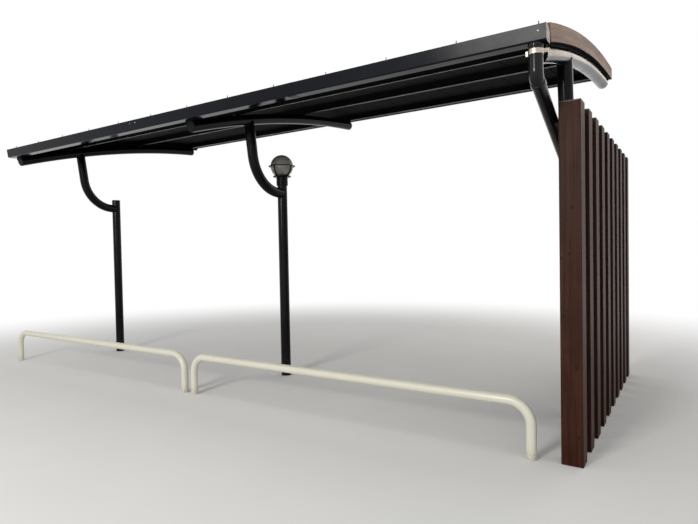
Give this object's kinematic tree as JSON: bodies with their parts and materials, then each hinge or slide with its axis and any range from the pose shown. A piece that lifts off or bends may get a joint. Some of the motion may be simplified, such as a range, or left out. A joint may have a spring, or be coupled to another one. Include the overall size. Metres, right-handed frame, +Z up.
{
  "type": "cycle shelter",
  "caption": "Open cycle shelter with gooseneck posts, an arched ribbed roof, gutter, downspout, globe lamp, slatted screen and floor hoops.",
  "frame": {"origin": "middle of the middle post's foot, on the ground", "axes": "+X along the shelter to the end with the screen, +Y to the rear, +Z up"},
  "size_m": [4.9903, 2.274, 2.3001],
  "materials": {
    "black_steel": "black powder coat, semi-gloss",
    "roof_sheet": "dark pre-painted sheet, satin",
    "board_film": "brown wood-grain film over an extrusion",
    "pipe_plastic": "black, low gloss",
    "trim_black": "black, matt",
    "band_steel": "stainless band",
    "lamp_black": "black, satin",
    "lamp_glass": "smoked grey, translucent",
    "screen_film": "dark red-brown wood-grain film over square tube",
    "screen_cap": "dark brown",
    "hoop_cream": "cream, gloss"
  },
  "bodies": {
    "root": {"post_left": "black_steel", "post_middle": "black_steel", "post_right": "black_steel", "post_cap_left": "trim_black", "post_cap_right": "trim_black", "arm_left": "black_steel", "arm_middle": "black_steel", "arm_right": "black_steel", "beam_left": "black_steel", "beam_middle": "black_steel", "beam_right": "black_steel", "beam_plugs": "trim_black", "purlin_saddles": "black_steel", "purlin_front": "black_steel", "purlin_lower": "black_steel", "purlin_upper": "black_steel", "purlin_rear": "black_steel", "roof_deck_left": "roof_sheet", "roof_deck_right": "roof_sheet", "verge_left": "board_film", "verge_right": "board_film", "side_rail_left": "black_steel", "side_rail_right": "black_steel", "rear_board": "black_steel", "gutter": "black_steel", "gutter_cap_left": "black_steel", "gutter_cap_right": "black_steel", "gutter_outlet": "trim_black", "downspout_upper": "pipe_plastic", "downspout_slope": "pipe_plastic", "downspout_lower": "pipe_plastic", "downspout_shoe": "pipe_plastic", "downspout_clamp": "band_steel", "downspout_bands": "band_steel", "lamp_base": "lamp_black", "lamp_cage": "lamp_black", "lamp_globe": "lamp_glass", "screen_columns": "screen_film", "screen_caps": "screen_cap", "floor_hoop_left": "hoop_cream", "floor_hoop_right": "hoop_cream"}
  },
  "joints": []
}
